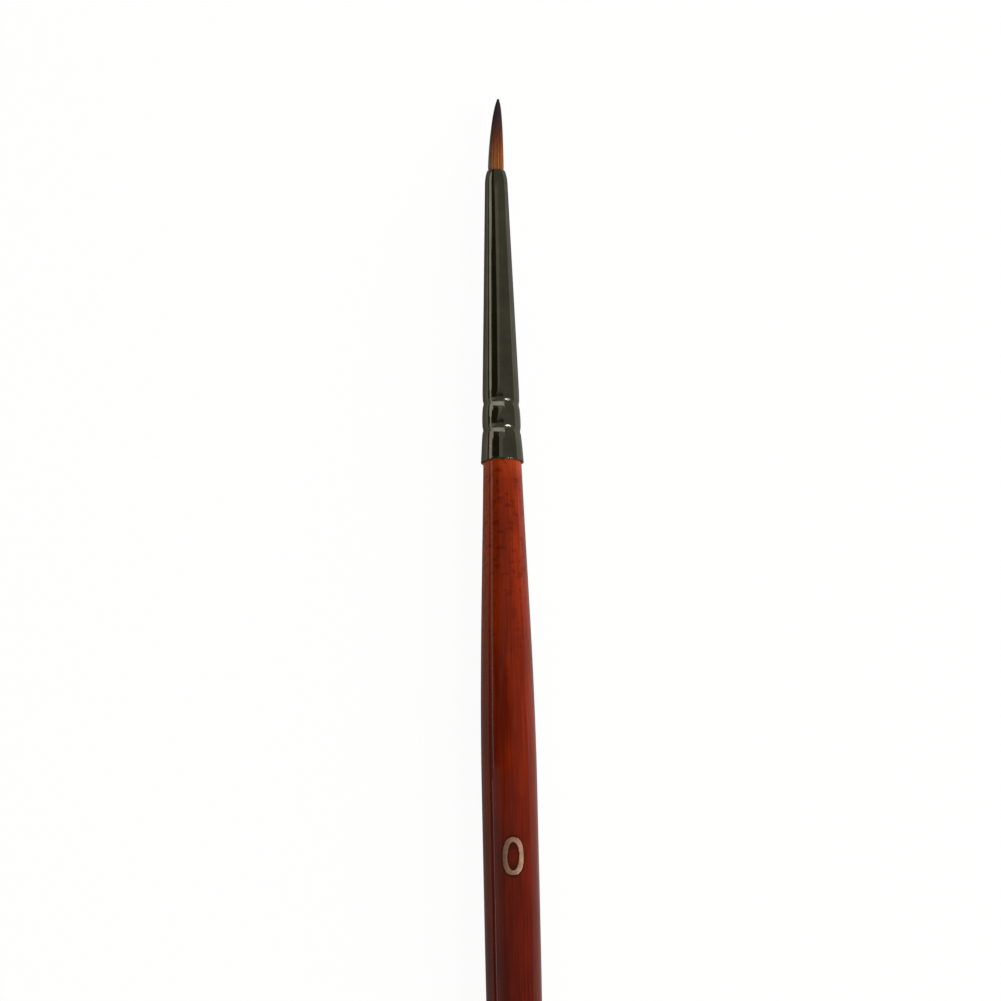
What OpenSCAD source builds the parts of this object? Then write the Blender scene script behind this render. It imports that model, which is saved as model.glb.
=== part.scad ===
// Fine detail brush, size 0: a pointed round tuft in a crimped ferrule, on a turned and lacquered handle.
// The brush lies along Y with its hair towards +Y, and its belly rests on Z = 0 under its middle.
// Each piece is a solid of revolution. Its outline is a table of [at, radius] rows, where "at" is the
// distance from the handle's round end, so pieces that touch share the rows of one table.

/* [Lengths] */
// Length of handle that shows behind the ferrule
handle_out = 136.5; // [105:0.5:180]
// Length of the ferrule
ferrule_len = 34.3; // [27:0.5:42]
// Length of hair that shows in front of the ferrule
hair_out = 8.6; // [5:0.1:14]

/* [Handle] */
// Diameter of the belly, over the lacquer
belly_d = 6.2; // [5.2:0.1:8]
// Length of the belly's straight stretch
belly_len = 17; // [6:1:30]
// Distance from the ferrule's back edge to the belly
neck_len = 36.5; // [28:1:50]
// Growth of the neck's radius for each mm behind the ferrule, where it leaves the ferrule
neck_slope = 0.03; // [0.01:0.005:0.05]
// Diameter where the round end starts, over the lacquer
end_d = 3.4; // [2.2:0.1:4.6]
// Length of the round end
end_len = 2; // [1:0.1:3]
// Growth of the tail's radius for each mm in front of the round end, where it starts
tail_slope = 0.018; // [0.005:0.001:0.03]
// Thickness of the lacquer
lacquer_t = 0.16; // [0.05:0.01:0.2]
// Length of lacquered neck inside the ferrule
lacquer_tuck = 1.5; // [0.5:0.1:2]
// Length of the handle inside the ferrule, which is its tenon
tenon_len = 14; // [9:0.5:17]
// Radial clearance between the lacquered neck and the ferrule
neck_fit = 0.03; // [0.01:0.01:0.08]

/* [Size mark] */
// Width of the numeral
mark_w = 2.35; // [1.5:0.05:3]
// Length of the numeral along the handle
mark_len = 4.2; // [3.5:0.05:6]
// Width of the numeral's stroke
mark_stroke = 0.5; // [0.2:0.05:0.7]
// Thickness of the foil
foil_t = 0.04; // [0.02:0.01:0.1]
// Squareness of the numeral's oval: 2 is an ellipse
mark_square = 2.5; // [2:0.1:4]
// Distance from the ferrule's back edge to the middle of the numeral
mark_back = 45.1; // [20:0.1:70]
// Turn of the numeral round the handle, in degrees from straight up
mark_turn = 4; // [-20:1:20]

/* [Ferrule] */
// Diameter of the back of the ferrule's cone
ferrule_back_d = 4.66; // [3.88:0.01:5.6]
// Diameter that the cone would have at the mouth, before the mouth is burnished in
ferrule_front_d = 2.5; // [2.3:0.02:3]
// Thickness of the ferrule's wall
ferrule_wall = 0.2; // [0.12:0.01:0.26]
// Growth of the radius at the flared back edge
flare = 0.05; // [0:0.01:0.1]
// Length of the flare
flare_len = 1.9; // [1:0.1:2]
// Break of the back edge
edge_break = 0.06; // [0.02:0.01:0.1]
// Bore of the mouth, which the hair fills
mouth_d = 1.75; // [1.4:0.05:2.1]
// Thickness of the lip at the mouth
lip_t = 0.1; // [0.05:0.01:0.14]
// Length of the burnished curl at the mouth
curl_len = 1.5; // [0.8:0.1:2]
// Length of the straight land inside the lip
lip_land = 0.2; // [0.1:0.05:0.4]
// Number of rolled crimps
crimps = 2; // [1:1:3]
// Distance from the back edge to the nearest crimp's centre
crimp_back = 3.9; // [2.9:0.05:5]
// Distance between the centres of two crimps
crimp_pitch = 3.12; // [2.3:0.02:4]
// Width of a crimp
crimp_w = 1.8; // [1:0.05:2.1]
// Depth of a crimp
crimp_depth = 0.15; // [0.05:0.01:0.3]

/* [Hair] */
// Length of hair inside the ferrule
heel_len = 8.5; // [6:0.5:10]
// Growth of the bundle's radius at the cut end of the hair
heel_splay = 0.06; // [0:0.01:0.1]
// Length of hair in front of the ferrule that bends when the point is pressed aside
flex_len = 2.8; // [2:0.1:4]
// Fullness of the tuft: a higher number keeps the belly fat nearer to the point
fullness = 1.5; // [1:0.1:3]

/* [Binding and glue] */
// Diameter of the thread tied round the heel
thread_d = 0.28; // [0.15:0.01:0.3]
// Number of turns of thread
thread_turns = 4; // [2:1:6]
// How far the thread pinches the bundle in
thread_pinch = 0.1; // [0.02:0.01:0.15]
// Distance from the cut end of the hair to the nearest turn
thread_back = 1.4; // [0.8:0.1:2]
// Length of epoxy behind the cut end of the hair, where it meets the ferrule's wall
epoxy_behind = 1.3; // [0.8:0.1:2]
// Depth of the epoxy's hollow back face
epoxy_hollow = 0.6; // [0.2:0.1:0.7]
// Length of the heel that the epoxy leaves bare behind the mouth
epoxy_short = 2.6; // [1.6:0.1:3]
// Chamfer at the tenon's end
tenon_chamfer = 0.5; // [0.2:0.1:1]

/* [Hidden] */
$fn = 96;

// Places along the brush, measured from the handle's round end
ferrule_at = handle_out;
mouth_at = ferrule_at + ferrule_len;
tip_at = mouth_at + hair_out;
flex_at = mouth_at + flex_len;
heel_at = mouth_at - heel_len;
thread_at = heel_at + thread_back;
thread_end_at = thread_at + thread_turns * thread_d;
belly_end_at = ferrule_at - neck_len;
belly_at = belly_end_at - belly_len;
curl_at = mouth_at - curl_len;
tenon_end_at = ferrule_at + tenon_len;
glue_at = ferrule_at + lacquer_tuck;
epoxy_at = heel_at - epoxy_behind;
epoxy_end_at = mouth_at - epoxy_short;

// Radii, and the clearance that the bare wood leaves to the ferrule
belly_r = belly_d / 2;
end_r = end_d / 2;
mouth_r = mouth_d / 2;
waist_r = mouth_r - thread_pinch;
wood_fit = neck_fit + lacquer_t;

// Steps in each curved stretch of an outline
end_steps = 8;
body_steps = 18;
crimp_steps = 12;
curl_steps = 8;
hair_steps = 24;
turn_steps = 8;
mark_steps = 64;
hollow_steps = 6;
skip = 0.001;

// A ramp from 0 to 1 that starts at the given slope and ends level
function swell(t, slope) = slope * (t - 2 * pow(t, 2) + pow(t, 3)) + 3 * pow(t, 2) - 2 * pow(t, 3);

// A smooth groove, 1 deep at 0 and level with its surroundings at -1 and 1
function groove(t) = abs(t) < 1 ? (1 + cos(180 * t)) / 2 : 0;

function backwards(list) = [for (i = [len(list) - 1:-1:0]) list[i]];

// The outline points of a table's rows between two places
function stretch(table, from, to) = concat(
    [[lookup(from, table), from]],
    [for (row = table) if (row[0] > from + skip && row[0] < to - skip) [row[1], row[0]]],
    [[lookup(to, table), to]]);

// The outline of a shell between an outer and an inner table, which may start at different places
function shell(outer, inner, outer_from, inner_from, to) =
    concat(stretch(outer, outer_from, to), backwards(stretch(inner, inner_from, to)));

// Ferrule, outside
cone_slope = (ferrule_front_d - ferrule_back_d) / 2 / ferrule_len;
function cone_r(at) = ferrule_back_d / 2 + cone_slope * (at - ferrule_at);
function flare_r(at) = flare * max(0, 1 - (at - ferrule_at) / flare_len);
function crimp_at(i) = ferrule_at + crimp_back + i * crimp_pitch;
function crimp_rows(wall) = [for (i = [0:crimps - 1], k = [0:crimp_steps])
    let (t = 2 * k / crimp_steps - 1, at = crimp_at(i) + t * crimp_w / 2)
    [at, cone_r(at) - crimp_depth * groove(t) - wall]];
function curl_rows(wall, lip_r, land) = [for (k = [0:curl_steps])
    let (turn = 90 * k / curl_steps, full_r = cone_r(curl_at) - wall)
    [curl_at + (curl_len - land) * sin(turn), lip_r + (full_r - lip_r) * cos(turn)]];

ferrule_rows = concat(
    [[ferrule_at, cone_r(ferrule_at) + flare - edge_break]],
    [[ferrule_at + edge_break, cone_r(ferrule_at) + flare_r(ferrule_at + edge_break)]],
    [[ferrule_at + flare_len, cone_r(ferrule_at + flare_len)]],
    crimp_rows(0),
    curl_rows(0, mouth_r + lip_t, 0));

// Ferrule, inside. Everything that fills the bore takes its outline from these rows.
bore_rows = concat(
    [[ferrule_at, cone_r(ferrule_at) + flare - ferrule_wall]],
    [[ferrule_at + flare_len, cone_r(ferrule_at + flare_len) - ferrule_wall]],
    crimp_rows(ferrule_wall),
    curl_rows(ferrule_wall, mouth_r, lip_land),
    [[mouth_at, mouth_r]]);

// Handle. The inset is 0 for the lacquer's outside and the lacquer's thickness for the wood.
neck_r = lookup(ferrule_at, bore_rows) - neck_fit;
function rising(low_r, slope, len, t) =
    let (rise = belly_r - low_r)
    low_r + rise * swell(t, slope * len / rise);
function end_rows(inset) = [for (k = [0:end_steps])
    let (turn = 90 * k / end_steps)
    [end_len - (end_len - inset) * cos(turn), (end_r - inset) * sin(turn)]];
function tail_rows(inset) = [for (k = [1:body_steps])
    let (t = k / body_steps, len = belly_at - end_len)
    [end_len + len * t, rising(end_r, tail_slope, len, t) - inset]];
function neck_rows(inset) = [for (k = [0:body_steps])
    let (t = 1 - k / body_steps)
    [ferrule_at - neck_len * t, rising(neck_r, neck_slope, neck_len, t) - inset]];
function in_ferrule_rows(fit, to) = [for (point = stretch(bore_rows, ferrule_at, to))
    if (point[1] > ferrule_at + skip) [point[1], point[0] - fit]];

lacquer_rows = concat(end_rows(0), tail_rows(0), neck_rows(0), in_ferrule_rows(neck_fit, glue_at));
wood_rows = concat(end_rows(lacquer_t), tail_rows(lacquer_t), neck_rows(lacquer_t),
    in_ferrule_rows(wood_fit, tenon_end_at - tenon_chamfer));

// Hair: the heel inside the ferrule, pinched by the thread, and the tuft outside
heel_rows = [
    [heel_at, mouth_r + heel_splay],
    [thread_at - thread_pinch, mouth_r + heel_splay / 2],
    [thread_at, waist_r],
    [thread_end_at, waist_r],
    [thread_end_at + thread_pinch, mouth_r],
    [mouth_at, mouth_r]];
tuft_rows = [for (k = [0:hair_steps])
    let (t = sin(90 * k / hair_steps))
    [mouth_at + hair_out * t, mouth_r * sqrt(max(0, 1 - pow(t, fullness)))]];

// The outside of the wound thread: a half circle for each turn
thread_points = [for (i = [0:thread_turns - 1], k = [i == 0 ? 0 : 1:turn_steps])
    let (turn = 180 * k / turn_steps)
    [waist_r + thread_d / 2 * (1 + sin(turn)), thread_at + thread_d * (i + (1 - cos(turn)) / 2)]];

// Turns an outline round the brush's own axis, and lays the brush along Y on its belly
module turned(points) {
    translate([0, -tip_at / 2, belly_r])
    rotate([-90, 0, 0])
    rotate_extrude()
    polygon(points);
}

module hair_point() {
    color("#33222a")
    turned(concat([[0, flex_at]], stretch(tuft_rows, flex_at, tip_at)));
}

module hair_belly() {
    color("#a9692f")
    turned(concat([[0, mouth_at]], stretch(tuft_rows, mouth_at, flex_at), [[0, flex_at]]));
}

module hair_heel() {
    color("#b98046")
    turned(concat([[0, heel_at]], stretch(heel_rows, heel_at, mouth_at), [[0, mouth_at]]));
}

module tie_thread() {
    color("#e8e2d2")
    turned(concat([[waist_r, thread_at]], thread_points, [[waist_r, thread_end_at]]));
}

// Epoxy fills the ferrule round the heel and the thread, and its back face is hollow from surface tension
module epoxy_plug() {
    back_r = lookup(epoxy_at, bore_rows);
    hollow_points = [for (k = [0:hollow_steps])
        [back_r * k / hollow_steps, epoxy_at + epoxy_hollow * (1 - pow(k / hollow_steps, 2))]];
    wall_points = stretch(bore_rows, epoxy_at, epoxy_end_at);
    front_points = [for (i = [1:len(wall_points) - 1]) wall_points[i]];
    inner_points = concat(
        [[0, heel_at]],
        stretch(heel_rows, heel_at, thread_at),
        thread_points,
        stretch(heel_rows, thread_end_at, epoxy_end_at));
    color("#d9c98a")
    turned(concat(hollow_points, front_points, backwards(inner_points)));
}

module ferrule() {
    color("#3a3a33")
    turned(shell(ferrule_rows, bore_rows, ferrule_at, ferrule_at, mouth_at));
}

module tenon_glue() {
    color("#e6dcb8")
    turned(shell(bore_rows, wood_rows, glue_at, glue_at, tenon_end_at - tenon_chamfer));
}

module handle_core() {
    shoulder_r = lookup(tenon_end_at - tenon_chamfer, wood_rows);
    color("#d9b27c")
    turned(concat(
        stretch(wood_rows, lacquer_t, tenon_end_at - tenon_chamfer),
        [[shoulder_r - tenon_chamfer, tenon_end_at], [0, tenon_end_at]]));
}

module handle_lacquer() {
    color("#7d2417")
    turned(shell(lacquer_rows, wood_rows, 0, lacquer_t, glue_at));
}

// A flat oval, drawn along Y, with sides straighter than an ellipse's
function bulge(part) = sign(part) * pow(abs(part), 2 / mark_square);
module oval(width, length) {
    polygon([for (k = [0:mark_steps - 1])
        let (turn = 360 * k / mark_steps)
        [width / 2 * bulge(cos(turn)), length / 2 * bulge(sin(turn))]]);
}

// The foil numeral follows the lacquer's surface
module size_mark() {
    mark_at = ferrule_at - mark_back;
    surface = stretch(lacquer_rows, mark_at - mark_len, mark_at + mark_len);
    raised = [for (point = surface) [point[0] + foil_t, point[1]]];
    color("#b89468")
    intersection() {
        turned(concat(surface, backwards(raised)));
        translate([0, mark_at - tip_at / 2, belly_r])
        rotate([0, mark_turn, 0])
        linear_extrude(belly_d)
        difference() {
            oval(mark_w, mark_len);
            oval(mark_w - 2 * mark_stroke, mark_len - 2 * mark_stroke);
        }
    }
}

hair_point();
hair_belly();
hair_heel();
tie_thread();
epoxy_plug();
ferrule();
tenon_glue();
handle_core();
handle_lacquer();
size_mark();
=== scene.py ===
import math
import random

import bmesh
import bpy
from mathutils import Matrix, Vector, noise


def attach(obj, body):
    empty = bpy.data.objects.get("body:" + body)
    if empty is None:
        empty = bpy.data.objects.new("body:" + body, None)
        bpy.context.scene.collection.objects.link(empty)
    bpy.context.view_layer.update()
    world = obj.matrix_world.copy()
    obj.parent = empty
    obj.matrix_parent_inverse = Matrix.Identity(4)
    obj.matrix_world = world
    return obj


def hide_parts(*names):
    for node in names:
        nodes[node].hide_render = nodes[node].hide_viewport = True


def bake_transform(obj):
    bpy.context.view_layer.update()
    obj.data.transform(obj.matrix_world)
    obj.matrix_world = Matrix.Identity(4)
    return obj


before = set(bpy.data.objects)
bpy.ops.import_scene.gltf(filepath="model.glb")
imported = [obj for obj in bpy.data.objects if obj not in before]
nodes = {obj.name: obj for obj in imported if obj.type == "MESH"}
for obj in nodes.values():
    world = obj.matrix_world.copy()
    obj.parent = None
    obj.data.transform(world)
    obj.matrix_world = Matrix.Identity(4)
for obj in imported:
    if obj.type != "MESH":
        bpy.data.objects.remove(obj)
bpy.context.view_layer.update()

# Fine detail brush, size 0. Pieces are shaped in millimetres on a bench line: y runs from the handle's round
# end to the tip of the hair, and the brush's own axis is x = z = 0. layOnFloor takes them to their place.
brush = {
    "length": 179.4,
    "axisHeight": 3.1,
    "ferruleAt": 136.5,
    "mouthAt": 170.8,
}
mm = 0.001


def benchY(at):
    return (at - brush["length"] / 2) * mm


layOnFloor = Matrix.Translation((0, benchY(0), brush["axisHeight"] * mm)) @ Matrix.Scale(mm, 4)


def paint(hexCode):
    # an sRGB hex value as the linear colour that a socket takes
    parts = [int(hexCode[i:i + 2], 16) / 255 for i in (1, 3, 5)]
    return [p / 12.92 if p <= 0.04045 else ((p + 0.055) / 1.055) ** 2.4 for p in parts] + [1]


def addNode(tree, kind, inputs=None, stops=None, **settings):
    # inputs gives each socket a value or what feeds it: an output, or a node whose first output is meant;
    # stops are a ramp's (place, colour) pairs
    node = tree.nodes.new("ShaderNode" + kind)
    for name, value in settings.items():
        setattr(node, name, value)
    for key, value in (inputs or {}).items():
        if isinstance(value, bpy.types.Node):
            value = value.outputs[0]
        if isinstance(value, bpy.types.NodeSocket):
            tree.links.new(value, node.inputs[key])
        else:
            node.inputs[key].default_value = value
    if stops:
        ramp = node.color_ramp.elements
        while len(ramp) < len(stops):
            ramp.new(0.5)
        for element, (place, colour) in zip(ramp, stops):
            element.position = place
            element.color = colour
    return node


def startMaterial(name):
    material = bpy.data.materials.new(name)
    material.use_nodes = True
    material.node_tree.nodes.clear()
    return material, material.node_tree


def endMaterial(material, shader):
    addNode(material.node_tree, "OutputMaterial", {"Surface": shader})
    return material


# Camera

cameraSetup = {
    "distance": 500,
    "lookBack": 12.5,       # degrees that the camera stands towards the handle
    "target": (-0.3, 132.17, 0),
    "roll": 1.2515,         # degrees
    "lens": 159.67,
    "sensor": 36,
}


def placeCamera(setup):
    back = math.radians(setup["lookBack"])
    roll = math.radians(setup["roll"])
    towards = Vector((0, -math.sin(back), math.cos(back)))
    flatUp = Vector((0, math.cos(back), math.sin(back)))
    flatRight = Vector((1, 0, 0))
    up = flatUp * math.cos(roll) + flatRight * math.sin(roll)
    right = flatRight * math.cos(roll) - flatUp * math.sin(roll)
    spot = layOnFloor @ (Vector(setup["target"]) + towards * setup["distance"])
    data = bpy.data.cameras.new("studioCamera")
    data.lens = setup["lens"]
    data.sensor_width = setup["sensor"]
    data.clip_start = 0.01
    data.clip_end = 100
    camera = bpy.data.objects.new("studioCamera", data)
    camera.matrix_world = Matrix.Translation(spot) @ Matrix((right, up, towards)).transposed().to_4x4()
    bpy.context.scene.collection.objects.link(camera)
    bpy.context.scene.camera = camera


placeCamera(cameraSetup)
print("camera placed")


# Helpers for shaping

def makePiece(name, bm, place=layOnFloor, sharpAngle=40):
    bmesh.ops.transform(bm, matrix=place, verts=bm.verts)
    mesh = bpy.data.meshes.new(name)
    bm.to_mesh(mesh)
    bm.free()
    piece = bpy.data.objects.new(name, mesh)
    bpy.context.scene.collection.objects.link(piece)
    mesh.shade_smooth()
    mesh.set_sharp_from_angle(angle=math.radians(sharpAngle))
    return piece


def startTubes(name, radius, roundness):
    # each spline of this curve becomes a round tube, and a point's own radius multiplies the one given here
    curve = bpy.data.curves.new(name, "CURVE")
    curve.dimensions = "3D"
    curve.bevel_depth = radius
    curve.bevel_resolution = roundness
    curve.use_fill_caps = True
    return curve


def sweepTubes(curve):
    rope = bpy.data.objects.new("rope", curve)
    bpy.context.scene.collection.objects.link(rope)
    bpy.context.view_layer.update()
    bm = bmesh.new()
    bm.from_mesh(bpy.data.meshes.new_from_object(rope.evaluated_get(bpy.context.evaluated_depsgraph_get())))
    bpy.data.objects.remove(rope)
    bmesh.ops.recalc_face_normals(bm, faces=bm.faces)
    return bm


def lathe(outline, steps):
    # turns a closed outline of (radius, at) points round the brush's axis; those on the axis become poles
    bm = bmesh.new()
    points = [bm.verts.new((radius, at, 0)) for radius, at in outline]
    for i, point in enumerate(points):
        after = points[(i + 1) % len(points)]
        if point.co.x > 0 or after.co.x > 0:
            bm.edges.new((point, after))
    bmesh.ops.spin(bm, geom=bm.verts[:] + bm.edges[:], cent=(0, 0, 0), axis=(0, 1, 0), dvec=(0, 0, 0),
                   angle=2 * math.pi, steps=steps, use_merge=True, use_duplicate=False)
    bmesh.ops.remove_doubles(bm, verts=bm.verts, dist=0.0004)
    bmesh.ops.recalc_face_normals(bm, faces=bm.faces)
    return bm


def lookup(table, at):
    # the radius at a place of a table of (at, radius) rows
    if at <= table[0][0]:
        return table[0][1]
    for (lowAt, lowR), (highAt, highR) in zip(table, table[1:]):
        if at <= highAt:
            return lowR + (highR - lowR) * (at - lowAt) / max(highAt - lowAt, 1e-9)
    return table[-1][1]


def stretch(table, start, end, skip=0.001):
    # the outline points of a table between two places
    inside = [(radius, at) for at, radius in table if start + skip < at < end - skip]
    return [(lookup(table, start), start)] + inside + [(lookup(table, end), end)]


def clamp(value):
    return min(1, max(0, value))


def swell(t, slope):
    # a ramp from 0 to 1 that starts at the given slope and ends level
    return slope * (t - 2 * t ** 2 + t ** 3) + 3 * t ** 2 - 2 * t ** 3


# Ferrule: drawn brass tube, rolled crimps, burnished mouth, black nickel plate

ferrule = {
    "length": 34.3,
    "backD": 4.66,
    "frontD": 2.5,
    "wall": 0.2,
    "flare": 0.095,
    "flareLen": 3.0,
    "flareEase": 0.15,      # share of its length over which the flare sets in
    "edgeBreak": 0.06,
    "mouthR": 0.875,
    "lip": 0.1,
    "curlLen": 1.4,
    "curlSquare": 1.6,      # 2 would be a true quarter ellipse
    "lipLand": 0.2,
    "lipRound": 0.035,
    "flareSteps": 14,
    "crimps": (3.68, 6.74),  # how far the crimps' middles are from the back edge
    "crimpReach": 1.9,
    "crimpCut": (0.07, 0.2),        # depth and spread of the groove
    "crimpShoulder": (0.05, 0.62),  # and of the dip round it
    "crimpSkew": 0.05,      # the crimps run slightly askew round the tube
    "skewIn": (2.2, 1),     # where that sets in before the first crimp, and over what length
    "skewOut": (3.2, 2),    # and how far past the last one it is gone again, likewise
    "outOfRound": 0.004,    # the tube is never quite round
    "crimpUneven": 0.01,    # the roller leaves the crimps deeper in places
    "crimpMarks": 0.003,    # depth of the roller's marks
    "roundPace": 1.1,       # how fast each of these three changes, in the same order
    "crimpPace": 1.7,
    "markPace": 1.4,
    "alongPace": 0.12,      # the first two change slower along the tube than round it
    "crimpSteps": 64,
    "curlSteps": 14,
    "roundSteps": 6,
    "coneStep": 1.2,
    "turns": 144,
}
coneSlope = (ferrule["frontD"] - ferrule["backD"]) / 2 / ferrule["length"]
curlAt = brush["mouthAt"] - ferrule["curlLen"]


def coneR(at):
    return ferrule["backD"] / 2 + coneSlope * (at - brush["ferruleAt"])


def flareR(at):
    # the flare eases in, so that no crease shows where it starts
    t = max(0, 1 - (at - brush["ferruleAt"]) / ferrule["flareLen"])
    return ferrule["flare"] * (1 + ferrule["flareEase"]) * t ** 2 / (t + ferrule["flareEase"])


def crimpR(at):
    # how far the rolled crimps press the tube in
    depth = 0
    for back in ferrule["crimps"]:
        away = abs(at - brush["ferruleAt"] - back)
        if away < ferrule["crimpReach"]:
            fade = 1 - (away / ferrule["crimpReach"]) ** 4
            for deep, spread in (ferrule["crimpCut"], ferrule["crimpShoulder"]):
                depth += deep * math.exp(-0.5 * (away / spread) ** 2) * fade
    return depth


def spaced(start, length, steps):
    return [start + length * k / steps for k in range(steps + 1)]


def tubeRows(wall):
    # the tube's surface at a depth of wall, from the back edge to the start of the curl
    back = brush["ferruleAt"]
    reach = ferrule["crimpReach"]
    places = spaced(back, ferrule["flareLen"], ferrule["flareSteps"])
    for crimp in ferrule["crimps"]:
        places += spaced(back + crimp - reach, 2 * reach, ferrule["crimpSteps"])
    places.sort()
    at = places[-1] + ferrule["coneStep"]
    while at < curlAt - ferrule["coneStep"] / 2:
        places.append(at)
        at += ferrule["coneStep"]
    return [(p, coneR(p) + flareR(p) - crimpR(p) - wall) for p in places]


def curlRows(wall, lipR, land):
    # the mouth burnished in along nearly a quarter of an ellipse, which starts in line with the cone
    rows = []
    power = 2 / ferrule["curlSquare"]
    for k in range(ferrule["curlSteps"]):
        turn = math.pi / 2 * k / ferrule["curlSteps"]
        at = curlAt + (ferrule["curlLen"] - land) * math.sin(turn) ** power
        rows.append((at, lipR + (coneR(at) - wall - lipR) * math.cos(turn) ** power))
    return rows + [(curlAt + ferrule["curlLen"] - land, lipR)]


boreRows = tubeRows(ferrule["wall"]) + curlRows(ferrule["wall"], ferrule["mouthR"], ferrule["lipLand"])
boreRows.append((brush["mouthAt"], ferrule["mouthR"]))


def makeFerrule():
    back = brush["ferruleAt"]
    front = brush["mouthAt"] - ferrule["lipRound"]
    halfTurn = spaced(0, math.pi, 2 * ferrule["roundSteps"])
    # the cut edge at the back, rounded by tumbling
    outer = tubeRows(0)
    edge = ferrule["edgeBreak"]
    half = ferrule["wall"] / 2
    middle = outer[0][1] - half
    rim = [(middle - half * math.cos(turn), back + edge * (1 - math.sin(turn))) for turn in halfTurn]
    # the lip, rounded by the burnisher
    curl = [row for row in curlRows(0, ferrule["mouthR"] + ferrule["lip"], 0) if row[0] < front]
    half = ferrule["lip"] / 2
    middle = ferrule["mouthR"] + half
    lip = [(middle + half * math.cos(turn), brush["mouthAt"] - ferrule["lipRound"] * (1 - math.sin(turn)))
           for turn in halfTurn]
    outside = [(radius, at) for at, radius in outer + curl if at > back + edge]
    inside = [(radius, at) for at, radius in boreRows if back + edge < at < front]
    bm = lathe(rim + outside + lip + inside[::-1], ferrule["turns"])
    # the tube as the rollers and the drawing left it
    rolledMark = bm.verts.layers.float.new("rolled")
    deepest = ferrule["crimpCut"][0] + ferrule["crimpShoulder"][0]
    elsewhere = Vector((5, 0, 0))
    near, far = ferrule["crimps"]
    lead, leadOver = ferrule["skewIn"]
    trail, trailOver = ferrule["skewOut"]
    for vert in bm.verts:
        radius = math.hypot(vert.co.x, vert.co.z)
        fromBack = vert.co.y - back
        marks = 1 + noise.noise(vert.co * ferrule["markPace"])
        spot = Vector((vert.co.x / radius, vert.co.y * ferrule["alongPace"], vert.co.z / radius))
        multiplier = (crimpR(vert.co.y) / deepest) ** 2
        change = ferrule["outOfRound"] * noise.noise(spot * ferrule["roundPace"])
        change += ferrule["crimpUneven"] * multiplier * noise.noise(spot * ferrule["crimpPace"] + elsewhere)
        change -= ferrule["crimpMarks"] * min(1, 2 * multiplier) * marks
        vert[rolledMark] = multiplier
        vert.co.x *= 1 + change / radius
        vert.co.z *= 1 + change / radius
        rolled = clamp((fromBack - near + lead) / leadOver) * clamp((far + trail - fromBack) / trailOver)
        vert.co.y -= ferrule["crimpSkew"] * vert.co.x * rolled
    return makePiece("ferruleTube", bm, sharpAngle=60)


ferruleTube = makeFerrule()
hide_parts("ferrule")
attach(ferruleTube, "brush")
print("ferrule made")


# Handle: turned birch, dipped in clear red lacquer

handle = {
    "bellyR": 3.1,
    "bellyLen": 17,
    "neckLen": 36.5,
    "neckSlope": 0.03,
    "endR": 1.7,
    "endLen": 2,
    "tailSlope": 0.018,
    "lacquer": 0.16,
    "tuck": 1.5,
    "neckFit": 0.07,
    "endSteps": 14,
    "bodySteps": 44,
    "bellySteps": 10,
    "turns": 128,
    "ripple": 0.014,        # depth of the unevenness that dipping leaves
    "rippleRound": 0.55,    # its pace round the handle and along it, per mm
    "rippleAlong": 0.11,
    "rippleEnds": 8,        # length over which it dies out at both ends
}
bellyEndAt = brush["ferruleAt"] - handle["neckLen"]
bellyAt = bellyEndAt - handle["bellyLen"]
neckR = lookup(boreRows, brush["ferruleAt"]) - handle["neckFit"]


def rising(lowR, slope, length, t):
    rise = handle["bellyR"] - lowR
    return lowR + rise * swell(t, slope * length / rise)


def handleRows(inset):
    # the handle's outline at a depth of inset, from the round end to the part inside the ferrule
    rows = []
    for k in range(handle["endSteps"] + 1):
        turn = math.pi / 2 * k / handle["endSteps"]
        rows.append((handle["endLen"] - (handle["endLen"] - inset) * math.cos(turn),
                     (handle["endR"] - inset) * math.sin(turn)))
    tailLen = bellyAt - handle["endLen"]
    for k in range(1, handle["bodySteps"] + 1):
        t = k / handle["bodySteps"]
        rows.append((handle["endLen"] + tailLen * t,
                     rising(handle["endR"], handle["tailSlope"], tailLen, t) - inset))
    for k in range(1, handle["bellySteps"]):
        rows.append((bellyAt + handle["bellyLen"] * k / handle["bellySteps"], handle["bellyR"] - inset))
    for k in range(handle["bodySteps"] + 1):
        t = 1 - k / handle["bodySteps"]
        rows.append((brush["ferruleAt"] - handle["neckLen"] * t,
                     rising(neckR, handle["neckSlope"], handle["neckLen"], t) - inset))
    fit = handle["neckFit"] + inset
    end = brush["ferruleAt"] + handle["tuck"]
    rows += [(at, radius - fit) for radius, at in stretch(boreRows, brush["ferruleAt"], end)[1:]]
    return rows


lacquerRows = handleRows(0)


def makeHandle():
    outside = [(radius, at) for at, radius in lacquerRows]
    inside = [(radius, at) for at, radius in handleRows(handle["lacquer"])]
    outside[0] = (0, 0)
    inside[0] = (0, handle["lacquer"])
    bm = lathe(outside + inside[::-1], handle["turns"])
    # the ripple only takes lacquer away, and dies out towards the ferrule and the round end
    for vert in bm.verts:
        radius = math.hypot(vert.co.x, vert.co.z)
        at = vert.co.y
        if radius < lookup(lacquerRows, at) - handle["lacquer"] / 2:
            continue
        fade = clamp((brush["ferruleAt"] - at) / handle["rippleEnds"]) * clamp(at / handle["rippleEnds"])
        spot = Vector((vert.co.x * handle["rippleRound"], at * handle["rippleAlong"],
                       vert.co.z * handle["rippleRound"]))
        depth = handle["ripple"] * fade * (0.5 + 0.5 * noise.noise(spot))
        if radius > depth:
            vert.co.x *= 1 - depth / radius
            vert.co.z *= 1 - depth / radius
    return makePiece("lacqueredHandle", bm, sharpAngle=50)


lacqueredHandle = makeHandle()
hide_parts("handle_lacquer")
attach(lacqueredHandle, "brush")
print("handle made")


# Size numeral: stamped in tan foil

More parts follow.
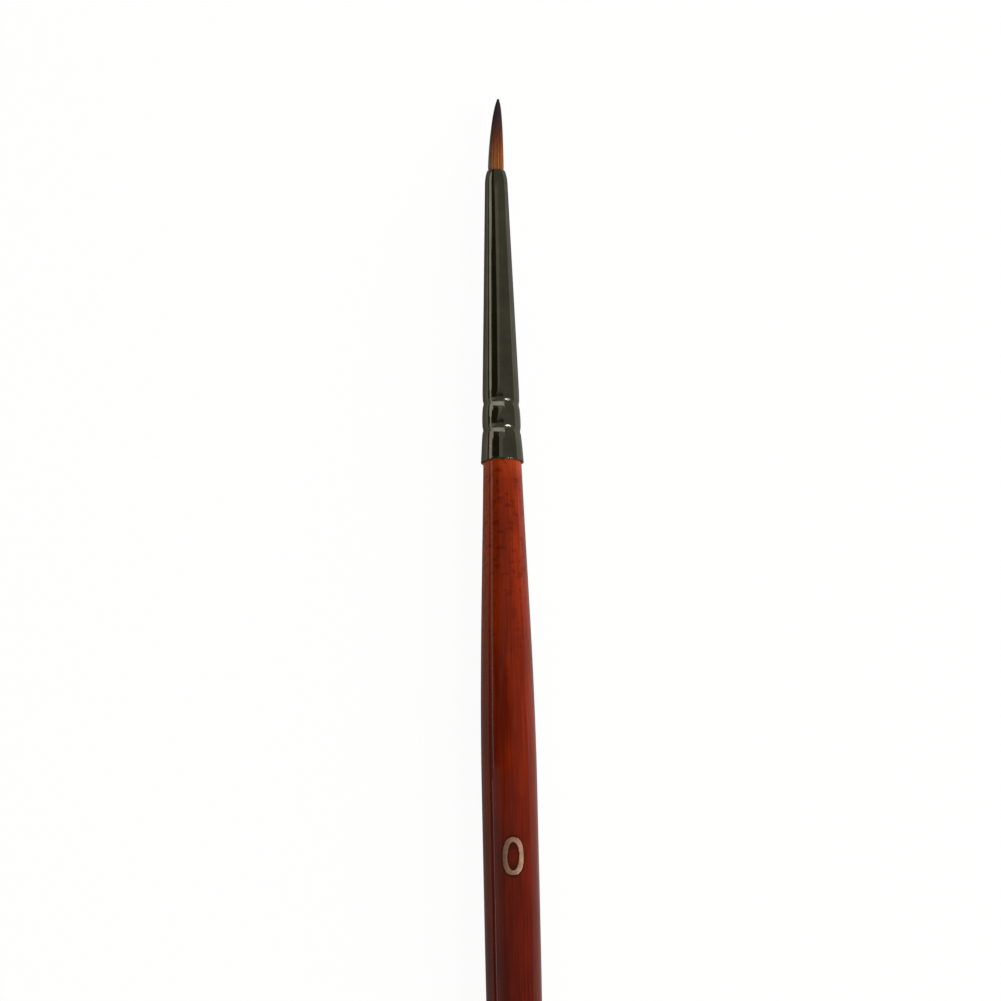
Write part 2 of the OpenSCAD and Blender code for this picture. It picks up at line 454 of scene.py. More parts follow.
numeral = {
    "at": 91.4,
    "turn": 4.6,
    "lean": 1.3,
    "width": 2.35,
    "length": 4.2,
    "square": (2.5, 2.05),  # of the outer and the inner edge: 2 would be an ellipse
    "stroke": 0.5,
    "edge": 0.07,
    "height": 0.032,
    "shoulder": ((0, 0.3), (0.3, 0.8), (1, 1)),  # the edge's rise, in shares of edge and height
    "sunk": 0.02,           # how deep its foot is bedded in the lacquer
    "wander": 0.045,        # how far the edges stray, since the lacquer under the die is never quite even
    "wanderPace": 4.5,
    "wanderApart": 9,       # keeps the inner edge from straying along with the outer one
    "points": 96,
}


def bulge(part, square):
    return math.copysign(abs(part) ** (2 / square), part)


def makeNumeral():
    bm = bmesh.new()
    outer, inner = numeral["square"]
    lean = math.tan(math.radians(numeral["lean"]))
    # from the outer foot, over the rounded shoulders, to the inner foot
    steps = [(numeral["edge"] * run, h) for run, h in ((0, -numeral["sunk"]), *numeral["shoulder"])]
    steps += [(numeral["stroke"] / 2, 1)] + [(numeral["stroke"] - run, h) for run, h in steps[::-1]]
    # a tube of unit circles, one for each step, closed into a ring and then given its outline
    bmesh.ops.create_circle(bm, cap_ends=False, radius=1, segments=numeral["points"])
    first = top = bm.edges[:]
    for _ in steps[1:]:
        grown = bmesh.ops.extrude_edge_only(bm, edges=top)["geom"]
        top = [part for part in grown if isinstance(part, bmesh.types.BMEdge)]
        raised = [part for part in grown if isinstance(part, bmesh.types.BMVert)]
        bmesh.ops.translate(bm, vec=(0, 0, 1), verts=raised)
    bmesh.ops.bridge_loops(bm, edges=first + top)
    for vert in bm.verts:
        inset, height = steps[round(vert.co.z)]
        share = inset / numeral["stroke"]
        square = outer + (inner - outer) * share
        spot = Vector((vert.co.x, vert.co.y, 0)) * numeral["wanderPace"]
        spot += Vector((0, 0, numeral["wanderApart"] * share))
        inset += numeral["wander"] * noise.noise(spot)
        x = (numeral["width"] / 2 - inset) * bulge(vert.co.x, square)
        y = (numeral["length"] / 2 - inset) * bulge(vert.co.y, square)
        vert.co = (x + y * lean, y, height if height < 0 else height * numeral["height"])
    bmesh.ops.recalc_face_normals(bm, faces=bm.faces)
    # wrapped onto the lacquer
    for vert in bm.verts:
        at = numeral["at"] + vert.co.y
        radius = lookup(lacquerRows, at)
        turn = math.radians(numeral["turn"]) + vert.co.x / radius
        lift = radius + vert.co.z
        vert.co = Vector((lift * math.sin(turn), at, lift * math.cos(turn)))
    return makePiece("foilNumeral", bm, sharpAngle=60)


foilNumeral = makeNumeral()
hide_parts("size_mark")
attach(foilNumeral, "brush")
print("numeral made")


# Tuft: tapered nylon filaments, tied, cupped to a point and dyed dark at the tip

tuft = {
    "hairs": 500,
    "hairR": 0.04,
    "tipR": 0.01,
    "taperFrom": 0.12,      # share of a hair's length out of the mouth at which it starts to taper
    "taperCurve": 0.75,
    "hairOut": 8.6,
    "heelLen": 8.5,
    "heelPoints": (0, 1.3, 1.45, 2.47, 2.62, 5, 8.3),  # a hair's points, in heights over the heel's end
    "heelSplay": 0.05,
    "pinch": 0.1,           # how far the thread draws the bundle in
    "pinched": (1.3, 2.62),  # and between which heights over the heel's end
    "pinchEase": 0.1,
    "fullness": 1.5,
    "spring": 0.05,         # how far the hair springs out once it is past the mouth
    "springFrom": 0.4,
    "tipSpread": 0.12,      # how far out the outermost hairs end
    "lean": 0.42,           # how far the point leans aside
    "leanCurve": 1.4,
    "scatter": 0.25,        # these stray at random: a hair's place round the bundle, in radians
    "swirl": 0.22,          # how far it turns round the bundle on its way out
    "ragged": (0.03, 0.2),  # how much shorter it may be, and how much more at the rim
    "stray": 0.02,          # how far its tip moves in
    "seed": 7,
    "outPoints": 22,
    "crowd": 1.3,           # above 1, the points crowd towards the mouth, where the hair bends
}


def tuftEnvelope(h):
    # the tuft's radius at a height over the mouth, and the bundle's inside the ferrule
    full = ferrule["mouthR"]
    if h >= 0:
        part = min(1, h / tuft["hairOut"])
        sprung = tuft["spring"] * min(1, h / tuft["springFrom"]) * (1 - part ** 2)
        return full * math.sqrt(max(0, 1 - part ** tuft["fullness"])) + sprung
    into = tuft["heelLen"] + h
    low, high = tuft["pinched"]
    if into < low:
        return full + tuft["heelSplay"] * (1 - into / (2 * low))
    if into < low + tuft["pinchEase"] or high - tuft["pinchEase"] < into < high:
        return full - tuft["pinch"] / 2
    return full - tuft["pinch"] if into < high else full


def makeTuft():
    rand = random.Random(tuft["seed"])
    curve = startTubes("tuftHair", 1, 1)
    golden = math.pi * (3 - math.sqrt(5))
    heelHeights = [at - tuft["heelLen"] for at in tuft["heelPoints"]]
    outShares = [(k / tuft["outPoints"]) ** tuft["crowd"] for k in range(1, tuft["outPoints"] + 1)]
    shorter, shorterAtRim = tuft["ragged"]
    strands = []
    for i in range(tuft["hairs"]):
        out = math.sqrt((i + 0.5) / tuft["hairs"])
        turn = i * golden + rand.uniform(-tuft["scatter"], tuft["scatter"])
        swirl = rand.uniform(-tuft["swirl"], tuft["swirl"])
        reach = tuft["hairOut"] * (1 - rand.random() ** 2 * (shorter + shorterAtRim * out ** 3))
        stray = rand.uniform(-1, 1)
        heights = heelHeights + [reach * share for share in outShares]
        spline = curve.splines.new("POLY")
        spline.points.add(len(heights) - 1)
        for point, h in zip(spline.points, heights):
            t = max(0, h / reach)
            slim = max(0, (t - tuft["taperFrom"]) / (1 - tuft["taperFrom"]))
            hairR = tuft["hairR"] * (1 - slim) ** tuft["taperCurve"] + tuft["tipR"] * slim
            room = max(tuft["tipSpread"], tuftEnvelope(h) - hairR)
            angle = turn + swirl * t * t
            wander = 1 - tuft["stray"] * t * (1 + stray)
            lean = tuft["lean"] * max(0, h / tuft["hairOut"]) ** tuft["leanCurve"]
            point.co = (room * out * wander * math.sin(angle) + lean, brush["mouthAt"] + h,
                        room * out * wander * math.cos(angle), 1)
            point.radius = hairR
        strands.append(rand.random())
    bm = sweepTubes(curve)
    # what the hair's material reads: the height over the mouth, the place across for the painted light and
    # sheen, and a number for each hair
    perHair = len(bm.verts) // tuft["hairs"]
    along = bm.verts.layers.float.new("along")
    strand = bm.verts.layers.float.new("strand")
    aside = bm.verts.layers.float.new("aside")
    bm.verts.ensure_lookup_table()
    for i, vert in enumerate(bm.verts):
        vert[along] = vert.co.y - brush["mouthAt"]
        vert[aside] = vert.co.x
        vert[strand] = strands[i // perHair]
    return makePiece("tuftHair", bm)


tuftHair = makeTuft()
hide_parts("hair_heel", "hair_belly", "hair_point")
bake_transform(tuftHair)
print("tuft made")


# Thread that ties the heel: two plies, wound four times

thread = {
    "plyR": 0.062,
    "windR": 0.915,
    "at": 163.7,
    "turns": 4,
    "pitch": 0.28,
    "plies": 2,
    "twists": 11,           # how often the plies twist in one turn
    "stepsPerTurn": 40,
}


def makeThread():
    curve = startTubes("bindingThread", thread["plyR"], 2)
    steps = thread["stepsPerTurn"] * thread["turns"]
    fullTurn = 2 * math.pi * thread["turns"]
    for ply in range(thread["plies"]):
        spline = curve.splines.new("POLY")
        spline.points.add(steps)
        for k, point in enumerate(spline.points):
            t = k / steps
            turn = fullTurn * t
            twist = 2 * math.pi * ply / thread["plies"] + thread["twists"] * turn
            radius = thread["windR"] + thread["plyR"] * math.cos(twist)
            at = thread["at"] + thread["pitch"] / 2 + (thread["turns"] - 1) * thread["pitch"] * t
            point.co = (radius * math.sin(turn), at + thread["plyR"] * math.sin(twist),
                        radius * math.cos(turn), 1)
    return makePiece("bindingThread", sweepTubes(curve))


bindingThread = makeThread()
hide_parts("tie_thread")
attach(bindingThread, "brush")
print("thread made")


# Materials

def perMm(size):
    # how often a pattern of this size in mm repeats in a metre, which is what Object coordinates count in
    return 1 / (size * mm)


def blackNickel():
    # brass drawn to a tube, rolled, and plated with bright black nickel: a dark mirror, a little smoky,
    # with the faint lengthwise lines of drawing, and brass showing through at the burnished lip
    material, tree = startMaterial("blackNickelPlatedDrawnBrass")
    place = addNode(tree, "TexCoord").outputs["Object"]
    drawn = addNode(tree, "Mapping", {"Vector": place, "Scale": (perMm(0.12), perMm(9), perMm(0.12))})
    drawLines = addNode(tree, "TexNoise", {"Vector": drawn, "Scale": 1.0, "Detail": 3.0})
    smoke = addNode(tree, "TexNoise", {"Vector": place, "Scale": perMm(2.4), "Detail": 4.0,
                                       "Roughness": 0.6})
    specks = addNode(tree, "TexVoronoi", {"Vector": place, "Scale": perMm(0.9)})
    speckMask = addNode(tree, "MapRange", {"Value": specks, "From Min": 0.05, "From Max": 0.09,
                                           "To Min": 1.0, "To Max": 0.0})
    plate = addNode(tree, "ValToRGB", {"Fac": smoke},
                    stops=[(0.3, paint("#524f48")), (0.7, paint("#605d54"))])
    # the burnisher wore it off at the lip, with a frayed border
    height = addNode(tree, "SeparateXYZ", {"Vector": place}).outputs["Y"]
    fray = addNode(tree, "TexNoise", {"Vector": place, "Scale": perMm(0.35)})
    frayed = addNode(tree, "Math", {0: fray, 1: 0.1 * mm, 2: height}, operation="MULTIPLY_ADD")
    lipWear = addNode(tree, "MapRange", {"Value": frayed, "From Min": benchY(brush["mouthAt"] - 0.01),
                                         "From Max": benchY(brush["mouthAt"] + 0.06)})
    surfaceColour = addNode(tree, "MixRGB", {"Fac": lipWear, "Color1": plate, "Color2": paint("#a07c4c")})
    dusty = addNode(tree, "MixRGB", {"Fac": speckMask, "Color1": surfaceColour, "Color2": paint("#6f6d68")})
    gloss = addNode(tree, "MapRange", {"Value": drawLines, "From Min": 0.3, "From Max": 0.7,
                                       "To Min": 0.05, "To Max": 0.10})
    # the roller left the crimps duller
    rolled = addNode(tree, "Attribute", attribute_name="rolled").outputs["Fac"]
    gloss = addNode(tree, "Math", {0: rolled, 1: 0.16, 2: gloss}, operation="MULTIPLY_ADD")
    dents = addNode(tree, "TexNoise", {"Vector": place, "Scale": perMm(0.4)})
    dented = addNode(tree, "Math", {0: dents, 1: rolled}, operation="MULTIPLY")
    rolling = addNode(tree, "Bump", {"Height": dented, "Distance": 0.015 * mm})
    relief = addNode(tree, "Bump", {"Height": drawLines, "Strength": 0.2, "Distance": 0.0004 * mm,
                                    "Normal": rolling})
    shader = addNode(tree, "BsdfPrincipled", {"Base Color": dusty, "Metallic": 1.0, "Roughness": gloss,
                                              "Normal": relief})
    return endMaterial(material, shader)


def redLacquer():
    # birch, stained red, under a dipped and polished clear lacquer: deep red with the grain and its short
    # dark pores showing through, and more orange at the neck
    material, tree = startMaterial("clearLacquerOverStainedBirch")
    place = addNode(tree, "TexCoord").outputs["Object"]
    grain = addNode(tree, "Mapping", {"Vector": place, "Scale": (perMm(0.22), perMm(9), perMm(0.22))})
    grainLines = addNode(tree, "TexNoise", {"Vector": grain, "Scale": 1.0, "Detail": 4.0, "Roughness": 0.6})
    figure = addNode(tree, "Mapping", {"Vector": place, "Scale": (perMm(1.5), perMm(7), perMm(1.5))})
    bands = addNode(tree, "TexNoise", {"Vector": figure, "Scale": 1.0, "Detail": 3.0})
    height = addNode(tree, "SeparateXYZ", {"Vector": place}).outputs["Y"]
    neck = addNode(tree, "MapRange", {"Value": height, "From Min": benchY(78), "From Max": benchY(138)})
    deepRed = addNode(tree, "ValToRGB", {"Fac": grainLines},
                      stops=[(0.3, paint("#470e06")), (0.5, paint("#530f05")), (0.72, paint("#631505"))])
    brightRed = addNode(tree, "ValToRGB", {"Fac": grainLines},
                        stops=[(0.3, paint("#6c1b05")), (0.5, paint("#7e2206")), (0.72, paint("#8e2a07"))])
    along = addNode(tree, "MixRGB", {"Fac": neck, "Color1": deepRed, "Color2": brightRed})
    blotch = addNode(tree, "ValToRGB", {"Fac": bands},
                     stops=[(0.35, paint("#cccccc")), (0.65, paint("#ffffff"))])
    figured = addNode(tree, "MixRGB", {"Fac": 0.8, "Color1": along, "Color2": blotch}, blend_type="MULTIPLY")
    # towards its end the neck turns lighter and more orange on its left side, and all round over its last
    # few millimetres
    side = addNode(tree, "SeparateXYZ", {"Vector": place}).outputs["X"]
    leftOfNeck = addNode(tree, "MapRange", {"Value": side, "From Min": -0.7 * mm, "From Max": -1.7 * mm})
    towardsNeckEnd = addNode(tree, "MapRange", {"Value": height, "From Min": benchY(110), "From Max": benchY(136),
                                          "To Max": 0.75})
    leftNeckShare = addNode(tree, "Math", {0: leftOfNeck, 1: towardsNeckEnd}, operation="MULTIPLY")
    figured = addNode(tree, "MixRGB", {"Fac": leftNeckShare, "Color1": figured, "Color2": paint("#9c3a10")})
    lastOfNeck = addNode(tree, "MapRange", {"Value": height, "From Min": benchY(134), "From Max": benchY(136.5),
                                         "To Max": 0.5})
    figured = addNode(tree, "MixRGB", {"Fac": lastOfNeck, "Color1": figured, "Color2": paint("#a23c10")})
    # pores and ray flecks: short dark marks across the grain, strongest just behind the ferrule
    fleck = addNode(tree, "Mapping", {"Vector": place, "Scale": (perMm(1.1), perMm(0.75), perMm(1.1))})
    stray = addNode(tree, "TexNoise", {"Vector": place, "Scale": perMm(0.8)})
    strayed = addNode(tree, "VectorMath", {0: stray.outputs["Color"], 1: (1.6, 0.8, 1.6), 2: fleck},
                      operation="MULTIPLY_ADD")
    flecks = addNode(tree, "TexVoronoi", {"Vector": strayed, "Scale": 1.0})
    sized = addNode(tree, "Math", {0: stray, 1: 0.9, 2: flecks}, operation="MULTIPLY_ADD")
    fleckMask = addNode(tree, "MapRange", {"Value": sized, "From Min": 0.86, "From Max": 0.62})
    nearNeck = addNode(tree, "MapRange", {"Value": height, "From Min": benchY(108), "From Max": benchY(126),
                                          "To Min": 0.05, "To Max": 0.55})
    flecking = addNode(tree, "Math", {0: fleckMask, 1: nearNeck}, operation="MULTIPLY")
    fleckedAndShaded = addNode(tree, "MixRGB", {"Fac": flecking, "Color1": figured, "Color2": paint("#4c0a03")})
    # painted shade: the lacquer is darkened round the numeral's edges, inside its ring and outside it, where
    # the pressed-in foil's edge is in shade; the numeral's outer edge is at 0.5 of this pattern
    turn = math.radians(numeral["turn"])
    centre = (handle["bellyR"] * math.sin(turn) * mm, benchY(numeral["at"]),
              (brush["axisHeight"] + handle["bellyR"] * math.cos(turn)) * mm)
    around = addNode(tree, "Mapping", {
        "Vector": place, "Location": centre, "Rotation": (0, 0, -math.radians(numeral["lean"])),
        "Scale": (numeral["width"] * mm, numeral["length"] * mm, 2 * handle["bellyR"] * mm),
    }, vector_type="TEXTURE")
    fromCentre = addNode(tree, "VectorMath", {0: around}, operation="LENGTH")
    paintedRimShade = addNode(tree, "ValToRGB", {"Fac": fromCentre.outputs["Value"]}, stops=[
        (0.12, (0.1, 0.1, 0.1, 1)), (0.3, (0.85, 0.85, 0.85, 1)), (0.53, (0.85, 0.85, 0.85, 1)),
        (0.62, (0, 0, 0, 1))])
    fleckedAndShaded = addNode(tree, "MixRGB", {"Fac": paintedRimShade, "Color1": fleckedAndShaded, "Color2": paint("#2e0703")})
    skin = addNode(tree, "TexNoise", {"Vector": place, "Scale": perMm(1.6), "Detail": 1.0})
    orangePeel = addNode(tree, "Bump", {"Height": skin, "Strength": 0.3, "Distance": 0.003 * mm})
    shader = addNode(tree, "BsdfPrincipled", {
        "Base Color": fleckedAndShaded, "Roughness": 0.55, "Specular IOR Level": 0.0,
        "Coat Weight": 1.0, "Coat Roughness": 0.04, "Coat IOR": 1.29, "Coat Normal": orangePeel})
    return endMaterial(material, shader)


def tanFoil():
    # pigment foil, hot stamped: a flat tan film, mottled, and rubbed thin so that specks of red show
    material, tree = startMaterial("hotStampedTanFoil")
    place = addNode(tree, "TexCoord").outputs["Object"]
    mottle = addNode(tree, "TexNoise", {"Vector": place, "Scale": perMm(0.55), "Detail": 4.0,
                                        "Roughness": 0.65})
    film = addNode(tree, "ValToRGB", {"Fac": mottle},
                   stops=[(0.32, paint("#704f3a")), (0.5, paint("#865f49")), (0.68, paint("#956d56"))])
    rubbed = addNode(tree, "TexNoise", {"Vector": place, "Scale": perMm(0.2)})
    thin = addNode(tree, "MapRange", {"Value": rubbed, "From Min": 0.66, "From Max": 0.72, "To Max": 0.7})
    surfaceColour = addNode(tree, "MixRGB", {"Fac": thin, "Color1": film, "Color2": paint("#6b2a18")})
    # painted light and shade: the film is darker on its left side and lighter on its right, as the lamps
    # fall from the right
    side = addNode(tree, "SeparateXYZ", {"Vector": place}).outputs["X"]
    paintedFoilLight = addNode(tree, "MapRange", {"Value": side, "From Min": -0.8 * mm, "From Max": 0.9 * mm,
                                         "To Min": 0.60, "To Max": 1.13})
    multiplier = addNode(tree, "CombineColor", {"Red": paintedFoilLight, "Green": paintedFoilLight, "Blue": paintedFoilLight})
    surfaceColour = addNode(tree, "MixRGB", {"Fac": 1.0, "Color1": surfaceColour, "Color2": multiplier}, blend_type="MULTIPLY")
    relief = addNode(tree, "Bump", {"Height": mottle, "Strength": 0.4, "Distance": 0.01 * mm})
    shader = addNode(tree, "BsdfPrincipled", {"Base Color": surfaceColour, "Roughness": 0.42,
                                              "Specular IOR Level": 0.35, "Normal": relief})
    return endMaterial(material, shader)


def dyedNylon():
    # extruded nylon filament, tapered in caustic: satin amber, dip-dyed brown and then nearly black at the
    # point, with the dye creeping further down some hairs than others
    material, tree = startMaterial("dipDyedTaperedNylon")
    along = addNode(tree, "Attribute", attribute_name="along").outputs["Fac"]
    strand = addNode(tree, "Attribute", attribute_name="strand").outputs["Fac"]
    creep = addNode(tree, "MapRange", {"Value": strand, "To Min": -0.75, "To Max": 0.75})
    dyeLine = addNode(tree, "Math", {0: along, 1: creep}, operation="ADD")
    share = addNode(tree, "MapRange", {"Value": dyeLine, "From Max": tuft["hairOut"]})
    dye = addNode(tree, "ValToRGB", {"Fac": share}, stops=[
        (0, paint("#8c5220")), (0.22, paint("#86481c")), (0.4, paint("#6c3416")), (0.52, paint("#56291a")),
        (0.66, paint("#422420")), (0.76, paint("#33222a")), (1, paint("#2b2329"))])
    # no two hairs are quite the same shade
    batchAndSideLight = addNode(tree, "MapRange", {"Value": strand, "To Min": 0.72, "To Max": 1.25})
    # painted light: the hair is darker on its left side and lighter on its right, as the lamps fall from the
    # right
    aside = addNode(tree, "Attribute", attribute_name="aside").outputs["Fac"]
    paintedHairLight = addNode(tree, "MapRange", {"Value": aside, "From Min": -0.8, "From Max": 0.9,
                                         "To Min": 0.86, "To Max": 1.16})
    batchAndSideLight = addNode(tree, "Math", {0: batchAndSideLight, 1: paintedHairLight}, operation="MULTIPLY")
    tone = addNode(tree, "CombineColor", {"Red": batchAndSideLight, "Green": batchAndSideLight, "Blue": batchAndSideLight})
    toned = addNode(tree, "MixRGB", {"Fac": 1.0, "Color1": dye, "Color2": tone}, blend_type="MULTIPLY")
    # painted sheen: a grey sheen is painted on the left side of the hair, up to where the dye is darkest
    atSide = addNode(tree, "MapRange", {"Value": aside, "From Min": -0.25, "From Max": -0.6, "To Max": 0.46})
    below = addNode(tree, "MapRange", {"Value": along, "From Min": 6.8, "From Max": 5.2})
    paintedSheen = addNode(tree, "Math", {0: atSide, 1: below}, operation="MULTIPLY")
    toned = addNode(tree, "MixRGB", {"Fac": paintedSheen, "Color1": toned, "Color2": paint("#7c7068")})
    shader = addNode(tree, "BsdfPrincipled", {"Base Color": toned, "Roughness": 0.42,
                                              "Specular IOR Level": 0.35})
    return endMaterial(material, shader)


def waxedLinen():
    # bleached linen thread, twisted from two plies and waxed: off-white and soft, mottled by fine fibres
    material, tree = startMaterial("waxedTwistedLinen")
    place = addNode(tree, "TexCoord").outputs["Object"]
    fibres = addNode(tree, "TexNoise", {"Vector": place, "Scale": perMm(0.05), "Detail": 3.0})
    colour = addNode(tree, "ValToRGB", {"Fac": fibres},
                     stops=[(0.3, paint("#c9bfa4")), (0.7, paint("#ece5d2"))])
    relief = addNode(tree, "Bump", {"Height": fibres, "Strength": 0.6, "Distance": 0.01 * mm})
    shader = addNode(tree, "BsdfPrincipled", {"Base Color": colour, "Roughness": 0.7,
                                              "Sheen Weight": 0.2, "Normal": relief})
    return endMaterial(material, shader)


def curedEpoxy():
    # two-part epoxy, poured and cured: honey-coloured and glassy, with small trapped bubbles
    material, tree = startMaterial("pouredCuredEpoxy")
    place = addNode(tree, "TexCoord").outputs["Object"]
    cloud = addNode(tree, "TexNoise", {"Vector": place, "Scale": perMm(1.5)})
    colour = addNode(tree, "ValToRGB", {"Fac": cloud},
                     stops=[(0.3, paint("#b98f3e")), (0.7, paint("#d8bb74"))])
    bubbles = addNode(tree, "TexVoronoi", {"Vector": place, "Scale": perMm(0.3)})
    dimple = addNode(tree, "MapRange", {"Value": bubbles, "From Min": 0.1, "From Max": 0.3})
    relief = addNode(tree, "Bump", {"Height": dimple, "Strength": 0.5, "Distance": 0.02 * mm})
    shader = addNode(tree, "BsdfPrincipled", {"Base Color": colour, "Roughness": 0.15,
                                              "Subsurface Weight": 0.3, "Subsurface Scale": 0.5 * mm,
                                              "Normal": relief})
    return endMaterial(material, shader)


def driedGlue():
    # polyvinyl acetate glue, brushed on and dried: cream, waxy, with brush drags along the tenon
    material, tree = startMaterial("brushedDriedWoodGlue")
    place = addNode(tree, "TexCoord").outputs["Object"]
    drag = addNode(tree, "Mapping", {"Vector": place, "Scale": (perMm(0.3), perMm(3), perMm(0.3))})
    drags = addNode(tree, "TexNoise", {"Vector": drag, "Scale": 1.0, "Detail": 3.0})
    colour = addNode(tree, "ValToRGB", {"Fac": drags},
                     stops=[(0.3, paint("#cdbb85")), (0.7, paint("#ebe0bd"))])
    relief = addNode(tree, "Bump", {"Height": drags, "Strength": 0.5, "Distance": 0.02 * mm})
    shader = addNode(tree, "BsdfPrincipled", {"Base Color": colour, "Roughness": 0.5, "Normal": relief})
    return endMaterial(material, shader)


def turnedBirch():
    # birch, turned and sanded: pale and fine, with faint darker lines of grain along it
    material, tree = startMaterial("turnedSandedBirch")
    place = addNode(tree, "TexCoord").outputs["Object"]
    grain = addNode(tree, "Mapping", {"Vector": place, "Scale": (perMm(0.25), perMm(8), perMm(0.25))})
    lines = addNode(tree, "TexNoise", {"Vector": grain, "Scale": 1.0, "Detail": 4.0})
    colour = addNode(tree, "ValToRGB", {"Fac": lines},
                     stops=[(0.3, paint("#b07a4a")), (0.55, paint("#cda16c")), (0.75, paint("#dcb684"))])
    relief = addNode(tree, "Bump", {"Height": lines, "Strength": 0.5, "Distance": 0.01 * mm})
    shader = addNode(tree, "BsdfPrincipled", {"Base Color": colour, "Roughness": 0.62, "Normal": relief})
    return endMaterial(material, shader)


def assign(piece, material):
    piece.data.materials.clear()
    piece.data.materials.append(material)


assign(ferruleTube, blackNickel())
assign(lacqueredHandle, redLacquer())
assign(foilNumeral, tanFoil())
assign(tuftHair, dyedNylon())
assign(bindingThread, waxedLinen())
assign(nodes["epoxy_plug"], curedEpoxy())
assign(nodes["tenon_glue"], driedGlue())
assign(nodes["handle_core"], turnedBirch())
hiddenNylon = dyedNylon()
hiddenNylon.name = "dipDyedTaperedNylonSolid"
for name in ("hair_heel", "hair_belly", "hair_point"):
    assign(nodes[name], hiddenNylon)
for name, piece in (("ferrule", ferruleTube), ("handle_lacquer", lacqueredHandle),
                    ("size_mark", foilNumeral), ("tie_thread", bindingThread)):
    assign(nodes[name], piece.data.materials[0])
print("materials made")


# Studio

studio = {
    "world": (0.37, 0.36, 0.30, 1),
    "floorSize": 30,
    "floorGrey": "#fbfbfb",
    "floorWhite": 0.95,
    "keyWay": (0.669, -0.18, 0.72),
    "keyDistance": 0.8,
    "keySize": (0.46, 0.085),
    "keyPower": 4.4,
    "keyTint": (1.0, 0.99, 0.97),
    "sideWay": (0.9, 0.42, 0.25),
    "sideDistance": 0.7,
    "sideSize": (0.3, 0.5),
    "sidePower": 3.4,
    "stripDistance": 0.6,
    "strips": (             # angle from straight up, size, power, and the middle's place along y
        (-68, (0.045, 0.107), 0.033, 0.1615),
        (-73, (0.045, 0.5), 0.16, -0.145),
    ),
    "aim": (0, 0.045, 0.0031),
    "darkBoard": (0.07, 0.062, 0.035, 1),
}

# the borders that the dark card over the brush shares with the bright one and with the pale one
lineEdge = [
    (-0.63, 0.245), (-0.63, 0.281), (-0.60, 0.290), (-0.57, 0.300), (-0.50, 0.283), (-0.455, 0.270),
    (-0.42, 0.265), (-0.42, 0.305)]
paleEdge = [
    (-0.15, 0.148), (-0.116, 0.160), (-0.113, 0.174), (-0.094, 0.182), (-0.093, 0.206), (-0.12, 0.213)]

# Cards that only gloss sees, in metres. One without a height stands, and its corners are (x, y, z).
cards = {
    # these hang side by side over the left: a dark one, a bright one outside it, a pale one inside it
    "stripeCard": {"height": 0.35, "shade": studio["darkBoard"], "corners": [
        (-0.60, 0.14), (-0.60, 0.10), (-0.417, 0.092), (-0.278, 0.0915), (-0.186, 0.116), (-0.186, 0.131),
        *paleEdge, (-0.168, 0.230), (-0.25, 0.256), *lineEdge[::-1]]},
    "lineCard": {"height": 0.349, "shade": (1.8, 1.78, 1.62, 1), "corners": [
        *lineEdge, (-0.43, 0.36), (-0.50, 0.50), (-1.0, 0.95), (-1.9, 1.15), (-1.5, 0.60), (-1.42, 0.44),
        (-1.23, 0.395), (-0.95, 0.325), (-0.64, 0.247)]},
    "paleCard": {"height": 0.35, "shade": (0.62, 0.60, 0.49, 1), "corners": [
        *paleEdge, (0.075, 0.213), (0.071, 0.197), (0.045, 0.187), (0.014, 0.178), (-0.021, 0.168),
        (-0.08, 0.152)]},
    # a soft one for the belly, which fades towards the middle
    "bellyCard": {"height": 0.35, "spread": 0.9, "corners": [
        (-0.86, 0.16), (-0.375, 0.095), (-0.22, 0.08), (-0.22, -0.1), (-0.86, -0.1)], "stops": [
        (0.244, (0.38, 0.37, 0.32, 1)), (0.333, (0.5, 0.49, 0.44, 1)), (0.417, (0.62, 0.61, 0.56, 1)),
        (0.556, (0.75, 0.74, 0.69, 1)), (0.74, (0.86, 0.85, 0.8, 1))]},
    # the window is what the steep sides of the crimps see
    "windowCard": {"height": 0.5, "shade": (2.1, 2.08, 1.95, 1), "corners": [
        (0.2, 0.287), (0.2, 0.6), (-0.5, 0.85), (-0.9, 1.0), (-0.92, 0.493), (-0.617, 0.396), (-0.36, 0.331),
        (-0.141, 0.291)]},
    # two small flags close over the mouth keep the window out of its curl
    "mouthStripe": {"height": 0.0131, "shade": studio["darkBoard"], "corners": [
        (-0.0105, 0.0845), (-0.0042, 0.0831), (-0.0055, 0.10), (-0.018, 0.11)]},
    "mouthFlag": {"height": 0.0131, "shade": studio["world"], "corners": [
        (-0.0042, 0.0831), (0.0052, 0.0831), (0.0075, 0.10), (-0.0055, 0.10)]},
    # what the camera and its stand would be
    "cameraCard": {"height": 2, "shade": (0.1, 0.1, 0.08, 1), "corners": [
        (-1.8, 0.33), (0.52, 0.33), (0.52, 0.5), (-1.8, 0.5)]},
    # grey sheets lie on the floor on both sides, and keep its white out of the brush's edges
    "leftSheet": {"height": 0.0003, "corners": [
        (-0.0014, -0.5), (-1.5, -0.5), (-1.5, 0.9), (-0.0014, 0.9)], "stops": [
        (0.1, (0.12, 0.12, 0.11, 1)), (0.17, (0.22, 0.22, 0.20, 1)), (0.33, (0.42, 0.41, 0.36, 1)),
        (0.9, (0.72, 0.69, 0.56, 1))]},
    "rightSheet": {"height": 0.0003, "corners": [
        (0.0014, -0.5), (1.5, -0.5), (1.5, 0.9), (0.0014, 0.9)], "stops": [
        (0.1, (0.15, 0.15, 0.14, 1)), (0.17, (0.55, 0.54, 0.50, 1)), (0.33, (0.70, 0.69, 0.63, 1)),
        (0.9, (0.86, 0.84, 0.74, 1))]},
    # a low dark one stands off to the left
    "lowCard": {"shade": (0.11, 0.105, 0.08, 1), "corners": [
        (-0.6, -0.5, 0.03), (-0.6, 0.9, 0.03), (-0.6, 0.9, 0.12), (-0.6, -0.5, 0.12)]},
}


